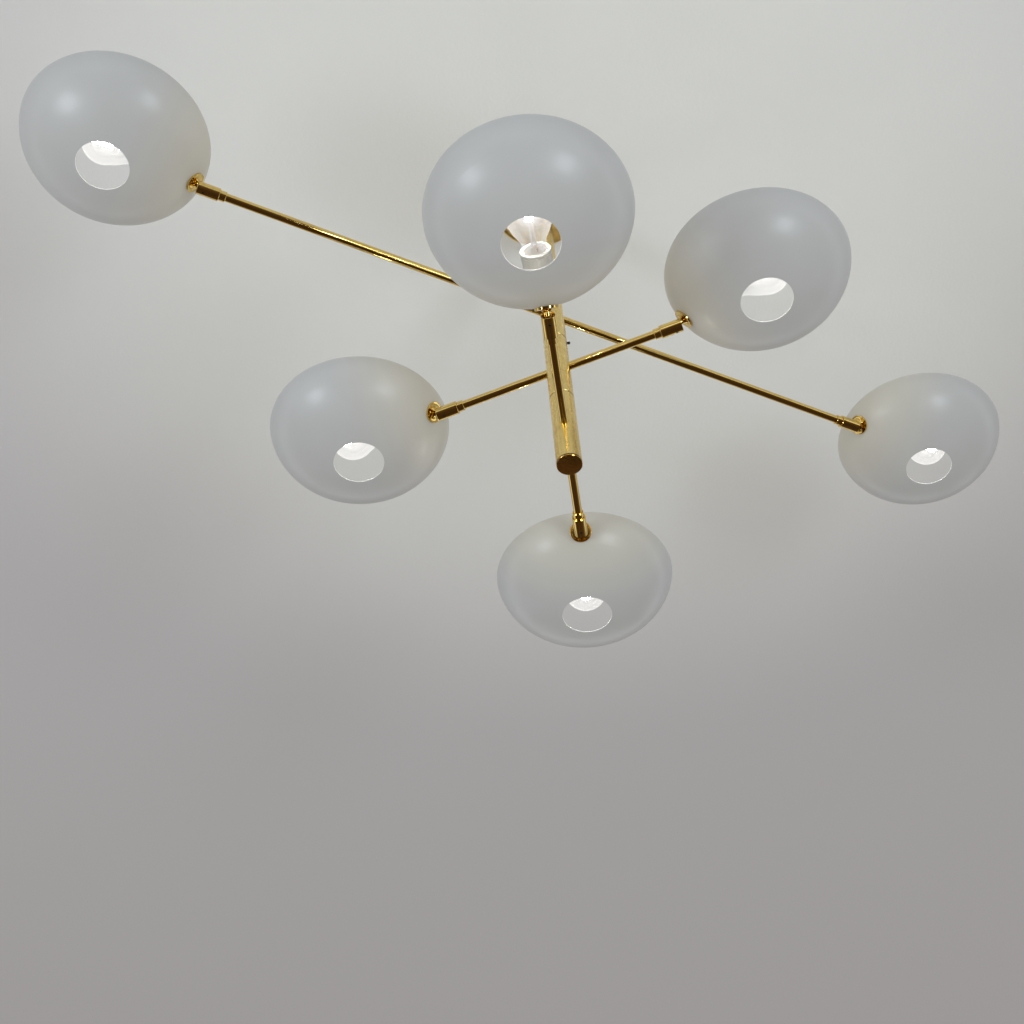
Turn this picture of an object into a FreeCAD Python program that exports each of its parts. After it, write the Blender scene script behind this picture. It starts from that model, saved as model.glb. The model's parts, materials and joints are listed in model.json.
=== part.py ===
"""Sputnik chandelier: three straight arms through one brass stem, six spun reflector bowls.

The stem hangs from a canopy and carries three segments stacked on short spigots. Each
segment turns about the stem and is held by a lock screw. Its arm is a tube that passes
right through it. At both ends of each arm a turned sleeve holds a ball stud, whose
flange is clamped to the wall of a bowl. The bowl opens upwards and has a round aperture
in its underside. The lampholder lies level inside it, screwed on the end of the stud.

Units are millimetres and degrees. The origin is on the ceiling, on the stem's axis, with
Z up. The side that faces -Y is the one that is seen from the floor in front of it.
"""
import FreeCAD, Part
import math
import os

from FreeCAD import Vector

# ---------------------------------------------------------------- canopy and its fixing
CANOPY_R = 75.0            # outer radius of the spun cup on the ceiling
CANOPY_H = 32.0            # its depth below the ceiling
CANOPY_WALL = 1.2
CANOPY_EDGE_R = 7.0        # rounded corner between side and underside
CANOPY_LIP = 2.0           # rolled foot of the cup, against the ceiling
CANOPY_HOLE_PLAY = 0.4     # round the nipple

STRAP_LEN = 104.0          # steel strap behind the canopy
STRAP_W = 24.0
STRAP_T = 2.5
STRAP_DROP = 11.0          # how far the middle of the strap stands off the ceiling
STRAP_FOOT = 20.0          # length of each foot that lies on the ceiling
FIXING_R = 2.75            # holes for the two ceiling screws
FIXING_SPACING = 86.0

NIPPLE_R = 5.0             # threaded tube that carries the whole lamp
NIPPLE_BORE_R = 3.2        # way for the lead
NIPPLE_GRIP = 8.5          # how far it screws into the top of the stem
NIPPLE_PROUD = 1.5         # its end above the nut
NUT_ACROSS = 17.0          # flats of the nut on the strap
NUT_H = 5.0
NUT_CORNER_AT = 0.75       # corners of every nut are broken from this share of its height
THREAD_PLAY = 0.05         # radial play between every screwed pair

# ---------------------------------------------------------------- stem
STEM_R = 16.3
STEM_WALL = 1.6
STEM_TOP_T = 9.0           # solid top of the upper tube, threaded for the nipple
DROP_LEN = 251.0           # upper tube, from the canopy to the first segment
SEGMENT_LEN = 131.2
SEGMENT_GAP = 0.3          # fine line that shows between two segments
SEGMENT_COUNT = 3
SPIGOT_LEN = 15.0          # spigot below each piece, inside the next one
SPIGOT_WALL = 3.0
SPIGOT_PLAY = 0.08         # running fit of the spigot in the next segment
SPIGOT_TAPER = 2.0         # inside, where the wall thickens towards the spigot
END_BREAK = 0.4            # broken edge of each turned end
CAP_T = 2.0                # end cap below the last segment
CAP_PLUG = 8.0
CAP_CROWN = 0.8            # its face is slightly domed
CAP_HOLLOW = 0.2           # depth of the recess inside, below the stem's end

LOCK_R = 1.9               # black lock screw of each segment
LOCK_DEPTH = 6.5           # from the top of the segment to the screw
LOCK_PROUD = 4.2           # how far it stands out of the stem
LOCK_GROOVE = 5.0          # width of the groove that its tip runs in
LOCK_GROOVE_DEPTH = 1.3
LOCK_TURN = 10.0           # screw's bearing, from the arm's first end
LOCK_TIP = 0.6             # chamfer of its tip
LOCK_SOCKET_R = 1.0
LOCK_SOCKET_DEPTH = 1.8

# ---------------------------------------------------------------- arms
ARM_R = 5.75
ARM_WALL = 1.0
ARM_PLAY = 0.05            # arm in the stem and in its collars
LONG_REACH = 511.5         # stem axis to ball centre, on the top arm
SHORT_REACH = 167.5        # the same on the two lower arms
WIRE_SLOT_LEN = 16.0       # slot in the arm inside the stem, where the leads branch
WIRE_SLOT_W = 5.0
# bearing and slope of each arm's first end, from the top arm down
ARM_BEARING = (27.8, -16.2, 85.0)
ARM_SLOPE = (0.0, 5.5, -1.3)
ARM_REACH = (LONG_REACH, SHORT_REACH, SHORT_REACH)

# ---------------------------------------------------------------- swivel at each arm end
BALL_R = 7.0
BALL_PLAY = 0.1
SLEEVE_R = 9.0
SLEEVE_BACK = 22.0         # ball centre to the sleeve's back face
SLEEVE_FRONT = 8.0         # ball centre to its open mouth
SLEEVE_EDGE = 1.0          # width of the rim left round the mouth
LIP_R = 5.9                # bore of the lip that keeps the ball in
LIP_LAND = 0.6             # length of that bore
NECK_R = 4.0
SLOT_PLAY = 0.4            # each side of the neck in the sleeve's slot
TILT_MAX = 72.0            # steepest angle of the stud to the arm
COLLAR_R = 7.2             # collar that screws on the arm and carries the sleeve
COLLAR_LEN = 8.5
COLLAR_GAP = 0.3           # between collar and sleeve
COLLAR_BORE_R = 4.0
COLLAR_PLAY = 0.08         # running fit of the collar's spigot in the sleeve
COLLAR_NOSE = 3.15         # end of its spigot to the ball centre
CUP_PLAY = 0.3             # hollow end of the spigot behind the ball
TUBE_STOP = 14.0           # ball centre to the end of the arm tube
TUBE_STOP_PLAY = 0.3       # end of the tube to the shoulder in the collar
GRUB_R = 1.5               # small grub screw under the ball
GRUB_BACK = 1.0            # its distance behind the ball centre
GRUB_TIP_PLAY = 0.3
GRUB_PROUD = 0.25
GRUB_SOCKET_R = 0.8
GRUB_SOCKET_DEPTH = 0.9

# ---------------------------------------------------------------- stud and its flange
STUD_REACH = 15.8          # ball centre to the outside of the bowl
FLANGE_R = 14.5
FLANGE_EDGE = 1.3
FLANGE_SAG = 0.7           # hollow of its face, that takes the curve of the bowl
FLANGE_FLARE = 3.2         # height of the concave flare up to the neck
FLARE_BEND = (0.8, 3.15)   # its middle: this far from the flange, this far out from the neck
SHANK_R = 5.0
SHANK_IN = 16.5            # threaded end, from the outside of the bowl inwards
SHANK_TIP_PLAY = 0.3       # its tip to the bottom of the lampholder's socket
STUD_BORE_R = 2.0
SEAT_PLAY = 0.05
RING_NUT_ACROSS = 17.0
RING_NUT_H = 4.0

# ---------------------------------------------------------------- bowl
BOWL_R = 125.0             # half the bowl's width
BOWL_DEPTH = 84.8          # its lower half is this deep
BOWL_WALL = 1.2
BOWL_RIM_DROP = 9.7        # the rim is cut this far below the widest line
APERTURE_R = 33.5
STUD_RISE_DEG = 34.0       # the stud stands square to the wall where the wall leans this much
SEAT_ARC_DEG = 24.0        # part of the bowl's section that one arc makes round the flange

# ---------------------------------------------------------------- lampholder and bulb
HOLDER_R = 18.8
HOLDER_DOME_R = 12.5       # round back that the stud screws into
HOLDER_DOME_IN = 22.3      # its centre, from the outside of the bowl along the stud
HOLDER_CONE = 17.0         # from the dome's centre to the full width
HOLDER_LEN = 55.0          # from the dome's centre to the mouth
HOLDER_RIM = 2.0           # thicker ring round the mouth
HOLDER_RIM_STEP = 0.8
HOLDER_MOUTH_R = 14.6
HOLDER_SHELL_R = 13.4      # threaded shell that takes the bulb's cap
HOLDER_MOUTH_DEPTH = 5.0
CAP_SEAT = 0.3             # bulb's cap to the bottom of the holder
BULB_R = 30.0
BULB_GLASS = 0.8
BULB_NECK_R = 13.9
BULB_MOUTH_DIST = 50.0     # globe's centre to the holder's mouth
BULB_SHOULDER_DEG = 128.0  # the globe ends this far round from its top
BULB_ROUND_DEG = 68.0      # a point on the globe that its arc passes through
BULB_FLARE_LEN = 9.0       # from the holder's mouth to the foot of the cone of glass
BULB_FLARE_R = 15.5        # outer radius of that foot
BULB_NECK_IN = 0.3         # step of the glass where the screw cap grips it
SCREW_CAP_IN = 2.5         # the screw cap starts this far inside the mouth
SCREW_CAP_R = 13.2
SCREW_CAP_LEN = 25.0
SCREW_CAP_WALL = 1.0
SCREW_CAP_FLOOR = 2.0
SCREW_CAP_TAPER = 2.5      # narrowing towards the contact
CONTACT_R = 5.0
CONTACT_LEN = 3.0
CONTACT_HOLE_R = 1.0

# how each bowl stands: (rolled about the arm, outer end down, swung round the ball)
BOWL_SET = {
    1: (-1.0, -1.8, 0.5),
    2: (-0.5, -2.3, -2.5),
    3: (0.0, 1.0, -11.5),
    4: (0.0, 1.8, -4.0),
    5: (1.8, 0.0, 3.0),
    6: (0.0, 4.0, -1.8),
}
# arm (0 at the top) and its end (+1 first end, -1 far end) that carries each bowl
BOWL_ARM = {1: (0, -1), 2: (2, -1), 3: (1, 1), 4: (1, -1), 5: (2, 1), 6: (0, 1)}

# ---------------------------------------------------------------- worked-out places
STEM_BORE_R = STEM_R - STEM_WALL
SPIGOT_R = STEM_BORE_R - SPIGOT_PLAY
DROP_TOP_Z = -CANOPY_H
DROP_END_Z = DROP_TOP_Z - DROP_LEN
SEGMENT_PITCH = SEGMENT_LEN + SEGMENT_GAP
SLEEVE_BORE_R = BALL_R + BALL_PLAY
STUD_RISE = math.radians(STUD_RISE_DEG)
# the lampholder's dome is centred where the stud's axis comes up to the bulb's level
DOME_DIST = STUD_REACH + HOLDER_DOME_IN
DOME_CENTRE = Vector(DOME_DIST * math.cos(STUD_RISE), 0, DOME_DIST * math.sin(STUD_RISE))
HOLDER_DEPTH = SCREW_CAP_IN + SCREW_CAP_LEN + CONTACT_LEN + CAP_SEAT

HALF_RIGHT = math.sqrt(0.5)          # sine of 45 degrees, for quarter rounds
MITRE = math.tan(math.radians(22.5))  # for a bend of 45 degrees in sheet
Z_AXIS = Vector(0, 0, 1)
X_AXIS = Vector(1, 0, 0)
ORIGIN = Vector(0, 0, 0)


def segment_top(index):
    """Height of the top face of segment `index`, counted from 0 at the top."""
    return DROP_END_Z - SEGMENT_GAP - index * SEGMENT_PITCH


def arm_height(index):
    """Each arm crosses the middle of its segment."""
    return segment_top(index) - SEGMENT_LEN / 2.0


# ---------------------------------------------------------------- building blocks
def revolve(points, axis=X_AXIS):
    """Turned solid from an outline of (along the axis, radius) points.

    A point may be ("arc", middle, end) for a curved stretch through `middle`.
    """
    def place(along_axis, radius):
        """Point of the outline in the XZ plane."""
        if axis == X_AXIS:
            return Vector(along_axis, 0, radius)
        return Vector(radius, 0, along_axis)

    edges = []
    last = place(*points[0])
    for item in points[1:] + [points[0]]:
        if item[0] == "arc":
            end = place(*item[2])
            edges.append(Part.Arc(last, place(*item[1]), end).toShape())
        else:
            end = place(*item)
            if last.distanceToPoint(end) < 1e-6:
                continue
            edges.append(Part.LineSegment(last, end).toShape())
        last = end
    face = Part.Face(Part.Wire(edges))
    return solid_of(face.revolve(ORIGIN, axis, 360))


def solid_of(shape):
    """The single solid in a shape, facing outwards."""
    solid = shape.Solids[0] if shape.Solids else Part.Solid(shape.Shells[0])
    if solid.Volume < 0:
        solid.reverse()
    return solid


def along(solid, start, direction):
    """Lay a solid made along +X so that X = 0 is at `start` and +X points that way."""
    turn = FreeCAD.Rotation(X_AXIS, direction)
    placed = solid.copy()
    placed.Placement = FreeCAD.Placement(start, turn).multiply(placed.Placement)
    return placed


def frame(origin, x_dir, z_dir):
    """Placement that carries local X and Z on to the given directions."""
    x = Vector(x_dir).normalize()
    z = (z_dir - x * z_dir.dot(x)).normalize()
    y = z.cross(x)
    matrix = FreeCAD.Matrix(x.x, y.x, z.x, origin.x, x.y, y.y, z.y, origin.y,
                            x.z, y.z, z.z, origin.z, 0, 0, 0, 1)
    return FreeCAD.Placement(matrix)


def placed(shape, placement):
    """A copy of the shape at a placement."""
    copy = shape.copy()
    copy.Placement = placement.multiply(copy.Placement)
    return copy


def hexagon(across, height, bore_r):
    """Hexagonal nut with its seat at X = 0 and broken corners on the far side."""
    corner = across / math.sqrt(3)
    points = []
    for step in range(7):
        angle = math.radians(60 * step)
        points.append(Vector(0, corner * math.cos(angle), corner * math.sin(angle)))
    nut = Part.Face(Part.makePolygon(points)).extrude(X_AXIS * height)
    rounding = revolve([(0, 0), (0, corner + 1), (height * NUT_CORNER_AT, corner + 1),
                        (height, across / 2.0), (height, 0)])
    bore = Part.makeCylinder(bore_r, height + 2, Vector(-1, 0, 0), X_AXIS)
    return nut.common(rounding).cut(bore)


# ---------------------------------------------------------------- section of the bowl
def ellipse_point(lean):
    """Point (radius, depth) of the bowl's ellipse where its wall leans `lean` inwards."""
    angle = math.atan2(BOWL_DEPTH * math.sin(lean), BOWL_R * math.cos(lean))
    return BOWL_R * math.cos(angle), BOWL_DEPTH * math.sin(angle)


def rim_lean():
    """Lean of the wall at the cut rim."""
    angle = math.asin(BOWL_RIM_DROP / BOWL_DEPTH)
    return math.atan2(BOWL_R * math.sin(angle), BOWL_DEPTH * math.cos(angle))


def aperture_lean():
    """Lean of the wall at the aperture."""
    angle = math.acos(APERTURE_R / BOWL_R)
    return math.atan2(BOWL_R * math.sin(angle), BOWL_DEPTH * math.cos(angle))


def bowl_arcs():
    """The bowl's section as smooth arcs, from the rim down: (start lean, end lean, radius, centre).

    Each arc is as large as the ellipse's own stretch between the same leans, and starts
    where the last one ends. Centres are (radius, height) with the bowl's centre at 0.
    """
    half = math.radians(SEAT_ARC_DEG / 2.0)
    rim, low = rim_lean(), aperture_lean()
    middle = (STUD_RISE + half + low) / 2.0
    leans = [rim, STUD_RISE - half, STUD_RISE + half, middle, low]
    r, depth = ellipse_point(rim)
    point = (r, -depth)
    arcs = []
    for start, end in zip(leans, leans[1:]):
        r0, d0 = ellipse_point(start)
        r1, d1 = ellipse_point(end)
        chord = math.hypot(r1 - r0, d1 - d0)
        radius = chord / (2 * math.sin((end - start) / 2.0))
        centre = (point[0] - radius * math.cos(start), point[1] + radius * math.sin(start))
        arcs.append((start, end, radius, centre))
        point = (centre[0] + radius * math.cos(end), centre[1] - radius * math.sin(end))
    return arcs


def section_point(arc, lean, inset=0.0):
    """Point (radius, height) of one arc of the section, `inset` inside its outer face."""
    radius, centre = arc[2] - inset, arc[3]
    return centre[0] + radius * math.cos(lean), centre[1] - radius * math.sin(lean)


def section_edges(inset=0.0):
    """Edges of the section in the XZ plane, from the rim to the aperture."""
    edges = []
    for arc in bowl_arcs():
        leans = (arc[0], (arc[0] + arc[1]) / 2.0, arc[1])
        points = [Vector(r, 0, z) for r, z in (section_point(arc, a, inset) for a in leans)]
        edges.append(Part.Arc(*points).toShape())
    return edges


def edge_ends(edges):
    """First and last point of a run of edges."""
    return edges[0].Vertexes[0].Point, edges[-1].Vertexes[-1].Point


def bowl_centre():
    """Place of the bowl's centre, seen from the ball, with the flange on the outer face."""
    r, z = section_point(bowl_arcs()[1], STUD_RISE)
    return Vector(STUD_REACH * math.cos(STUD_RISE) + r, 0, STUD_REACH * math.sin(STUD_RISE) - z)


# ---------------------------------------------------------------- canopy group
def make_canopy():
    """Spun brass cup, open to the ceiling, with a rounded lower edge and a rolled foot."""
    r, h, t, e = CANOPY_R, CANOPY_H, CANOPY_WALL, CANOPY_EDGE_R
    hole = NIPPLE_R + CANOPY_HOLE_PLAY
    out, inn = e * HALF_RIGHT, (e - t) * HALF_RIGHT
    outline = [
        (0, r), (-h + e, r), ("arc", (-h + e - out, r - e + out), (-h, r - e)),
        (-h, hole), (-h + t, hole), (-h + t, r - e),
        ("arc", (-h + e - inn, r - e + inn), (-h + e, r - t)),
        (-CANOPY_LIP, r - t), (-CANOPY_LIP, r - t - CANOPY_LIP), (0, r - t - CANOPY_LIP),
    ]
    return revolve(outline, Z_AXIS)


def make_strap():
    """Bent steel strap: two feet on the ceiling and a middle that carries the nipple."""
    half, foot, t, drop = STRAP_LEN / 2.0, STRAP_FOOT, STRAP_T, STRAP_DROP
    knee = t * MITRE                  # the legs run down at 45 degrees
    inner = half - foot
    middle = inner - drop
    outline = [
        (-half, 0), (-half, -t), (-inner, -t), (-middle, -t - drop), (middle, -t - drop),
        (inner, -t), (half, -t), (half, 0), (inner + knee, 0), (middle + knee, -drop),
        (-middle - knee, -drop), (-inner - knee, 0),
    ]
    points = [Vector(x, -STRAP_W / 2.0, z) for x, z in outline]
    strap = Part.Face(Part.makePolygon(points + points[:1])).extrude(Vector(0, STRAP_W, 0))
    for side in (-1, 1):
        centre = Vector(side * FIXING_SPACING / 2.0, 0, -t - 1)
        strap = strap.cut(Part.makeCylinder(FIXING_R, t + 2, centre, Z_AXIS))
    hole = Part.makeCylinder(NIPPLE_R + THREAD_PLAY, t + 2, Vector(0, 0, -t - drop - 1), Z_AXIS)
    return strap.cut(hole)


def make_nipple():
    """Threaded tube from above the strap's nut down into the stem."""
    top = -STRAP_DROP + NUT_H + NIPPLE_PROUD
    bottom = DROP_TOP_Z - NIPPLE_GRIP
    return revolve([(bottom, NIPPLE_BORE_R), (bottom, NIPPLE_R), (top, NIPPLE_R),
                    (top, NIPPLE_BORE_R)], Z_AXIS)


def make_strap_nut():
    """Nut that rests on the strap and carries the nipple."""
    nut = hexagon(NUT_ACROSS, NUT_H, NIPPLE_R + THREAD_PLAY)
    return along(nut, Vector(0, 0, -STRAP_DROP), Z_AXIS)


# ---------------------------------------------------------------- stem group
def spigot_outline(end_z):
    """Outline of the spigot below a stem piece, from its outer shoulder round to its bore."""
    groove_z = end_z - SEGMENT_GAP - LOCK_DEPTH
    half = LOCK_GROOVE / 2.0
    floor = SPIGOT_R - LOCK_GROOVE_DEPTH
    bore = SPIGOT_R - SPIGOT_WALL
    tip = end_z - SPIGOT_LEN
    return [
        (end_z + END_BREAK, STEM_R), (end_z, STEM_R - END_BREAK), (end_z, SPIGOT_R),
        (groove_z + half, SPIGOT_R), (groove_z + half, floor),
        (groove_z - half, floor), (groove_z - half, SPIGOT_R),
        (tip + END_BREAK, SPIGOT_R), (tip, SPIGOT_R - END_BREAK), (tip, bore),
        (end_z + STEM_WALL, bore), (end_z + STEM_WALL + SPIGOT_TAPER, STEM_BORE_R),
    ]


def make_drop_tube():
    """Upper tube of the stem, with a solid threaded top and a spigot at its lower end."""
    under = DROP_TOP_Z - STEM_TOP_T
    thread = NIPPLE_R + THREAD_PLAY
    outline = [(DROP_TOP_Z, thread), (DROP_TOP_Z, STEM_R - END_BREAK),
               (DROP_TOP_Z - END_BREAK, STEM_R)]
    outline += spigot_outline(DROP_END_Z)
    outline += [(under, STEM_BORE_R), (under, thread)]
    return revolve(outline, Z_AXIS)


def make_segment(index):
    """One stem segment: a tube with the arm's cross bore and the lock screw's hole."""
    top = segment_top(index)
    end = top - SEGMENT_LEN
    outline = [(top, STEM_BORE_R), (top, STEM_R - END_BREAK), (top - END_BREAK, STEM_R)]
    if index < SEGMENT_COUNT - 1:
        outline += spigot_outline(end)
    else:
        outline += [(end + END_BREAK, STEM_R), (end, STEM_R - END_BREAK), (end, STEM_BORE_R)]
    tube = revolve(outline, Z_AXIS)
    axis = arm_axis(index, 1)
    centre = Vector(0, 0, arm_height(index))
    reach = 2 * STEM_R
    bore = Part.makeCylinder(ARM_R + ARM_PLAY, 2 * reach, centre - axis * reach, axis)
    screw_axis = lock_axis(index)
    hole = Part.makeCylinder(LOCK_R + THREAD_PLAY, STEM_R + 2,
                             Vector(0, 0, top - LOCK_DEPTH), screw_axis)
    return tube.cut(bore).cut(hole)


def lock_axis(index):
    """Direction in which a segment's lock screw points out of the stem."""
    bearing = math.radians(ARM_BEARING[index] + LOCK_TURN)
    return Vector(math.cos(bearing), math.sin(bearing), 0)


def make_lock_screw(index):
    """Black screw with a hexagon socket; its tip runs in the groove of the spigot above."""
    tip = SPIGOT_R - LOCK_GROOVE_DEPTH + GRUB_TIP_PLAY
    head = STEM_R + LOCK_PROUD
    screw = revolve([(tip, 0), (tip, LOCK_R - LOCK_TIP), (tip + LOCK_TIP, LOCK_R),
                     (head - END_BREAK, LOCK_R), (head, LOCK_R - END_BREAK),
                     (head, LOCK_SOCKET_R), (head - LOCK_SOCKET_DEPTH, LOCK_SOCKET_R),
                     (head - LOCK_SOCKET_DEPTH, 0)])
    return along(screw, Vector(0, 0, segment_top(index) - LOCK_DEPTH), lock_axis(index))


def make_end_cap():
    """Slightly domed cap with a plug that fits inside the last segment."""
    face = segment_top(SEGMENT_COUNT - 1) - SEGMENT_LEN
    bottom = face - CAP_T
    rim = STEM_R - END_BREAK
    bore = SPIGOT_R - SPIGOT_WALL
    crown_r = (rim ** 2 + CAP_CROWN ** 2) / (2 * CAP_CROWN)
    halfway = math.sqrt(crown_r ** 2 - (rim / 2.0) ** 2) - (crown_r - CAP_CROWN)
    outline = [
        (face, SPIGOT_R), (face, STEM_R), (bottom + END_BREAK, STEM_R), (bottom, rim),
        ("arc", (bottom - halfway, rim / 2.0), (bottom - CAP_CROWN, 0)),
        (face - CAP_HOLLOW, 0), (face - CAP_HOLLOW, bore), (face + CAP_PLUG, bore),
        (face + CAP_PLUG, SPIGOT_R),
    ]
    return revolve(outline, Z_AXIS)


# ---------------------------------------------------------------- arms
def arm_axis(index, end):
    """Unit direction from the stem to one end of an arm, its slope included."""
    bearing = math.radians(ARM_BEARING[index])
    slope = math.radians(ARM_SLOPE[index])
    flat = Vector(math.cos(bearing), math.sin(bearing), 0)
    return (flat * math.cos(slope) + Z_AXIS * math.sin(slope)) * end


def ball_centre(index, end):
    """Centre of the ball at one end of an arm."""
    return Vector(0, 0, arm_height(index)) + arm_axis(index, end) * ARM_REACH[index]


def make_arm(index):
    """Straight tube right through the stem, with a slot inside the stem for the leads."""
    half = ARM_REACH[index] - TUBE_STOP
    bore = ARM_R - ARM_WALL
    tube = revolve([(-half, bore), (-half, ARM_R), (half, ARM_R), (half, bore)])
    slot = Part.makeBox(WIRE_SLOT_LEN, WIRE_SLOT_W, ARM_R + 1,
                        Vector(-WIRE_SLOT_LEN / 2.0, -WIRE_SLOT_W / 2.0, 0))
    tube = tube.cut(slot)
    return placed(tube, frame(Vector(0, 0, arm_height(index)), arm_axis(index, 1), Z_AXIS))


def make_collar():
    """Collar on the arm's end; its hollow-ended spigot carries the sleeve and backs the ball."""
    tube = ARM_R + ARM_PLAY
    spigot = SLEEVE_BORE_R - COLLAR_PLAY
    back = -SLEEVE_BACK - COLLAR_GAP - COLLAR_LEN
    shoulder = -SLEEVE_BACK - COLLAR_GAP
    stop = -TUBE_STOP + TUBE_STOP_PLAY
    body = revolve([(back, tube), (back, COLLAR_R - END_BREAK), (back + END_BREAK, COLLAR_R),
                    (shoulder - END_BREAK, COLLAR_R), (shoulder, COLLAR_R - END_BREAK),
                    (shoulder, spigot), (-COLLAR_NOSE, spigot),
                    (-COLLAR_NOSE, COLLAR_BORE_R), (stop, COLLAR_BORE_R), (stop, tube)])
    return body.cut(Part.makeSphere(BALL_R + CUP_PLAY))


def make_sleeve():
    """Turned sleeve: seat and lip for the ball, a flared mouth and the slot for the neck."""
    seat = SLEEVE_BORE_R
    lip_x = math.sqrt(seat ** 2 - LIP_R ** 2)
    mid = math.asin(lip_x / seat) / 2.0
    outline = [
        (-SLEEVE_BACK, seat), (-SLEEVE_BACK, SLEEVE_R - END_BREAK),
        (-SLEEVE_BACK + END_BREAK, SLEEVE_R), (SLEEVE_FRONT - END_BREAK, SLEEVE_R),
        (SLEEVE_FRONT, SLEEVE_R - END_BREAK), (SLEEVE_FRONT, SLEEVE_R - SLEEVE_EDGE),
        (lip_x + LIP_LAND, LIP_R), (lip_x, LIP_R),
        ("arc", (seat * math.sin(mid), seat * math.cos(mid)), (0, seat)),
    ]
    body = revolve(outline)
    # the slot reaches back as far as the neck does, down at the seat, at the steepest tilt
    tilt = math.radians(TILT_MAX)
    half = NECK_R + SLOT_PLAY
    back = seat / math.tan(tilt) - half / math.sin(tilt)
    length = SLEEVE_FRONT + 1 - back - half
    slot = Part.makeBox(length, 2 * half, SLEEVE_R + 1, Vector(back + half, -half, 0))
    end = Part.makeCylinder(half, SLEEVE_R + 1, Vector(back + half, 0, 0), Z_AXIS)
    hole = Part.makeCylinder(GRUB_R + THREAD_PLAY, SLEEVE_R + 1,
                             Vector(-GRUB_BACK, 0, 0), -Z_AXIS)
    return body.cut(slot.fuse(end)).cut(hole)


def make_grub():
    """Grub screw in the underside of the sleeve, its tip just short of the ball."""
    tip = math.sqrt(BALL_R ** 2 - GRUB_BACK ** 2) + GRUB_TIP_PLAY
    head = SLEEVE_R + GRUB_PROUD
    screw = revolve([(tip, 0), (tip, GRUB_R), (head, GRUB_R), (head, GRUB_SOCKET_R),
                     (head - GRUB_SOCKET_DEPTH, GRUB_SOCKET_R), (head - GRUB_SOCKET_DEPTH, 0)])
    return along(screw, Vector(-GRUB_BACK, 0, 0), -Z_AXIS)


# ---------------------------------------------------------------- bowl group
def stud_direction():
    """Direction of the stud from the ball into the bowl, before the bowl is set."""
    return Vector(math.cos(STUD_RISE), 0, math.sin(STUD_RISE))


def make_stud():
    """Ball, neck, flared flange and threaded shank, turned in one piece with a lead bore."""
    bore = STUD_BORE_R
    ball_front = math.sqrt(BALL_R ** 2 - NECK_R ** 2)
    ball_back = -math.sqrt(BALL_R ** 2 - bore ** 2)
    flange_back = STUD_REACH - FLANGE_EDGE - FLANGE_SAG
    flare_start = flange_back - FLANGE_FLARE
    over = STUD_REACH + 1.0
    tip = STUD_REACH + SHANK_IN
    bend = (flange_back - FLARE_BEND[0], NECK_R + FLARE_BEND[1])
    head = revolve([
        (ball_back, bore), ("arc", (0, BALL_R), (ball_front, NECK_R)),
        (flare_start, NECK_R), ("arc", bend, (flange_back, FLANGE_R - END_BREAK)),
        (flange_back + END_BREAK, FLANGE_R), (over, FLANGE_R), (over, bore)])
    # the flange is faced to the curve of the bowl, the shank goes on through its wall
    head = along(head, ORIGIN, stud_direction()).cut(bowl_form(SEAT_PLAY))
    shank = revolve([(flange_back, bore), (flange_back, SHANK_R), (tip - END_BREAK, SHANK_R),
                     (tip, SHANK_R - END_BREAK), (tip, bore)])
    shank = along(shank, ORIGIN, stud_direction())
    return solid_of(head.fuse(shank).removeSplitter())


def bowl_form(outset):
    """The bowl's outer form filled up to its axis, `outset` outside its outer face."""
    edges = section_edges(-outset)
    top, low = edge_ends(edges)
    corners = [low, Vector(0, 0, low.z), Vector(0, 0, top.z), top]
    sides = [Part.LineSegment(a, b).toShape() for a, b in zip(corners, corners[1:])]
    form = Part.Face(Part.Wire(edges + sides)).revolve(ORIGIN, Z_AXIS, 360)
    return placed(solid_of(form), FreeCAD.Placement(bowl_centre(), FreeCAD.Rotation()))


def make_bowl():
    """Spun half spheroid with a cut rim, a round aperture and the stud's hole."""
    outer = section_edges()
    inner = section_edges(BOWL_WALL)
    outer_top, outer_low = edge_ends(outer)
    inner_top, inner_low = edge_ends(inner)
    wire = Part.Wire(outer + [Part.LineSegment(outer_low, inner_low).toShape()] + inner[::-1]
                     + [Part.LineSegment(inner_top, outer_top).toShape()])
    shell = solid_of(Part.Face(wire).revolve(ORIGIN, Z_AXIS, 360))
    shell = placed(shell, FreeCAD.Placement(bowl_centre(), FreeCAD.Rotation()))
    hole = Part.makeCylinder(SHANK_R + SEAT_PLAY, 4 * BOWL_WALL,
                             stud_direction() * (STUD_REACH - 2 * BOWL_WALL), stud_direction())
    return shell.cut(hole)


def make_ring_nut():
    """Hexagonal nut that clamps the bowl against the flange from inside."""
    # its flat face clears the hollow of the wall by the rise under its corners
    corner = RING_NUT_ACROSS / math.sqrt(3)
    hollow = bowl_arcs()[1][2] - BOWL_WALL
    rise = hollow - math.sqrt(hollow ** 2 - corner ** 2)
    start = STUD_REACH + BOWL_WALL + rise + SEAT_PLAY
    nut = hexagon(RING_NUT_ACROSS, RING_NUT_H, SHANK_R + THREAD_PLAY)
    return along(nut, stud_direction() * start, stud_direction())


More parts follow.
